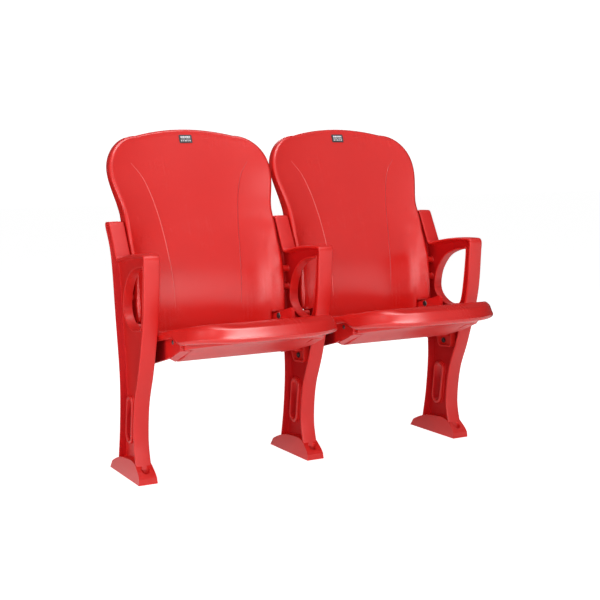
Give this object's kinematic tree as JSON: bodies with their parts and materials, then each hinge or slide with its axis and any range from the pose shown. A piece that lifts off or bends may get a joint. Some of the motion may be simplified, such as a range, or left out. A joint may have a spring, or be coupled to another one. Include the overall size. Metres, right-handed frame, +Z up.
{
  "type": "auditorium chair row",
  "caption": "Row of red moulded auditorium chairs with tip-up seats and tall curved backrests on shared armrest standards.",
  "frame": {"origin": "centre of the middle standard's foot, on the floor", "axes": "+X along the row to the viewer's right, +Y to the rear of the chairs, +Z up"},
  "size_m": [1.0948, 0.6494, 0.975],
  "materials": {
    "red_satin": "satin moulded",
    "red_gloss": "semi-gloss moulded",
    "steel": "dark plated",
    "rubber": "matt",
    "plate": "satin",
    "nylon": "plain"
  },
  "bodies": {
    "row_frame": {"standard_left": "red_satin", "standard_middle": "red_satin", "standard_right": "red_satin", "backrest_left": "red_gloss", "backrest_right": "red_gloss", "number_plate_left": "plate", "number_plate_right": "plate", "hinge_block_left_a": "red_satin", "stop_buffer_left_a": "rubber", "pivot_bolt_left_a": "steel", "hinge_block_bolt_left_a": "steel", "backrest_bolt_left_a_low": "steel", "backrest_bolt_left_a_high": "steel", "hinge_block_left_b": "red_satin", "stop_buffer_left_b": "rubber", "pivot_bolt_left_b": "steel", "hinge_block_bolt_left_b": "steel", "backrest_bolt_left_b_low": "steel", "backrest_bolt_left_b_high": "steel", "hinge_block_right_a": "red_satin", "stop_buffer_right_a": "rubber", "pivot_bolt_right_a": "steel", "hinge_block_bolt_right_a": "steel", "backrest_bolt_right_a_low": "steel", "backrest_bolt_right_a_high": "steel", "hinge_block_right_b": "red_satin", "stop_buffer_right_b": "rubber", "pivot_bolt_right_b": "steel", "hinge_block_bolt_right_b": "steel", "backrest_bolt_right_b_low": "steel", "backrest_bolt_right_b_high": "steel"},
    "seat_left": {"seat_top_left": "red_gloss", "seat_pan_left": "red_satin", "seat_cheek_left_a": "red_satin", "seat_cheek_left_b": "red_satin", "cheek_screw_left_a": "steel", "cheek_screw_left_b": "steel", "pivot_bush_left_a": "nylon", "pivot_bush_left_b": "nylon"},
    "seat_right": {"seat_top_right": "red_gloss", "seat_pan_right": "red_satin", "seat_cheek_right_a": "red_satin", "seat_cheek_right_b": "red_satin", "cheek_screw_right_a": "steel", "cheek_screw_right_b": "steel", "pivot_bush_right_a": "nylon", "pivot_bush_right_b": "nylon"}
  },
  "joints": [
    {"name": "seat_left_tip", "type": "hinge", "parent": "row_frame", "child": "seat_left", "pos_m": [-0.26, -0.011, 0.42], "axis": [-1, 0, 0], "range_deg": [0, 62]},
    {"name": "seat_right_tip", "type": "hinge", "parent": "row_frame", "child": "seat_right", "pos_m": [0.26, -0.011, 0.42], "axis": [-1, 0, 0], "range_deg": [0, 62]}
  ]
}
